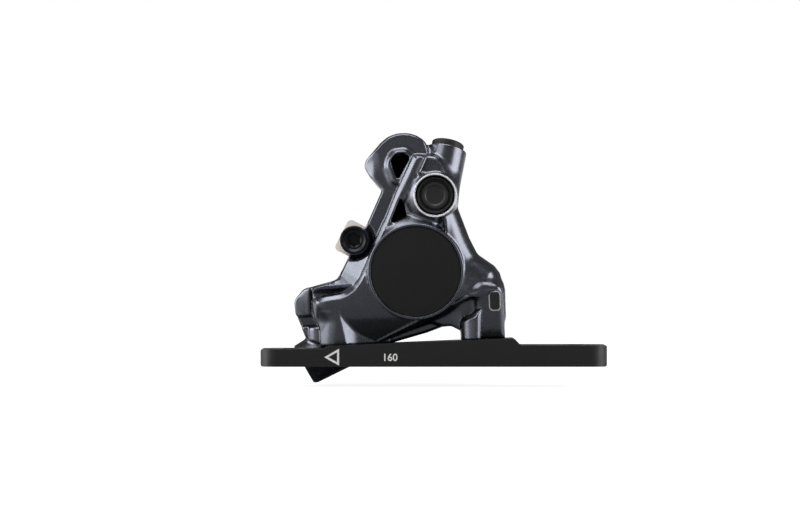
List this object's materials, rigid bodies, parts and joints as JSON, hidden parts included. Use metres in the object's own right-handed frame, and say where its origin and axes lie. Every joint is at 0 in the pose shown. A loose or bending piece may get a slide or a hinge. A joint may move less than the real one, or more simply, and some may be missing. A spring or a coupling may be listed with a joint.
{
  "type": "bicycle disc brake caliper",
  "caption": "flat-mount hydraulic disc brake caliper on a fork adapter plate, with opposed pistons, brake pads on an axle, hose port, capped bleed port and valve",
  "frame": {"origin": "midway between the two fork bolt slots, on the adapter plate's underside, where it rests on the fork", "axes": "+X down the fork towards the wheel axle, +Y inboard across the rotor, +Z away from the fork"},
  "size_m": [0.0862, 0.0408, 0.0624],
  "materials": {
    "body_aluminium": "forged, painted in glossy dark grey",
    "plate_aluminium": "satin black anodised",
    "cap_aluminium": "turned, matte black",
    "black_steel": "black oxide",
    "backing_steel": "stamped, satin",
    "spring_steel": "rolled, bright",
    "resin": "moulded, matte",
    "lining": "pressed resin compound",
    "rubber": "moulded, matte black"
  },
  "bodies": {
    "caliper": {"caliper_body": "body_aluminium", "bore_cap": "cap_aluminium", "bore_cap_seal": "rubber", "outboard_piston_seal": "rubber", "inboard_piston_seal": "rubber", "pad_axle": "black_steel", "pad_axle_clip": "spring_steel", "bleed_nipple": "black_steel", "mount_plate": "plate_aluminium", "plate_bolts": "black_steel", "bolt_retainers": "resin", "passage_plugs": "backing_steel", "pad_spring": "spring_steel"},
    "outboard_piston": {"outboard_piston": "resin"},
    "inboard_piston": {"inboard_piston": "resin"},
    "outboard_pad": {"outboard_pad_backing": "backing_steel", "outboard_pad_lining": "lining"},
    "inboard_pad": {"inboard_pad_backing": "backing_steel", "inboard_pad_lining": "lining"},
    "bleed_cap": {"bleed_port_cap": "rubber"},
    "valve_cap": {"valve_cap": "rubber"},
    "valve_screw": {"valve_screw": "black_steel", "valve_screw_seal": "rubber"}
  },
  "joints": [
    {"name": "outboard_piston_slide", "type": "slide", "parent": "caliper", "child": "outboard_piston", "axis": [0, 1, 0], "range_m": [0, 0.0013], "stiffness_N_per_m": 150},
    {"name": "inboard_piston_slide", "type": "slide", "parent": "caliper", "child": "inboard_piston", "axis": [0, -1, 0], "range_m": [0, 0.0013]},
    {"name": "outboard_pad_slide", "type": "slide", "parent": "caliper", "child": "outboard_pad", "axis": [0, 1, 0], "range_m": [0, 0.0013], "deforming": ["pad_spring"]},
    {"name": "inboard_pad_slide", "type": "slide", "parent": "caliper", "child": "inboard_pad", "axis": [0, -1, 0], "range_m": [0, 0.0013]},
    {"name": "bleed_cap_pull", "type": "slide", "parent": "caliper", "child": "bleed_cap", "axis": [0.1841, 0.2924, 0.9384], "range_m": [0, 0.008]},
    {"name": "valve_cap_pull", "type": "slide", "parent": "caliper", "child": "valve_cap", "axis": [0, -1, 0], "range_m": [0, 0.006]},
    {"name": "valve_screw_turn", "type": "hinge", "parent": "caliper", "child": "valve_screw", "pos_m": [0.00031, 0, 0.0426], "axis": [0, -1, 0], "range_deg": [0, 90]}
  ],
  "couplings": [
    {"joint": "inboard_piston_slide", "follows": "outboard_piston_slide", "ratio": 1},
    {"joint": "outboard_pad_slide", "follows": "outboard_piston_slide", "ratio": 1},
    {"joint": "inboard_pad_slide", "follows": "outboard_piston_slide", "ratio": 1}
  ]
}
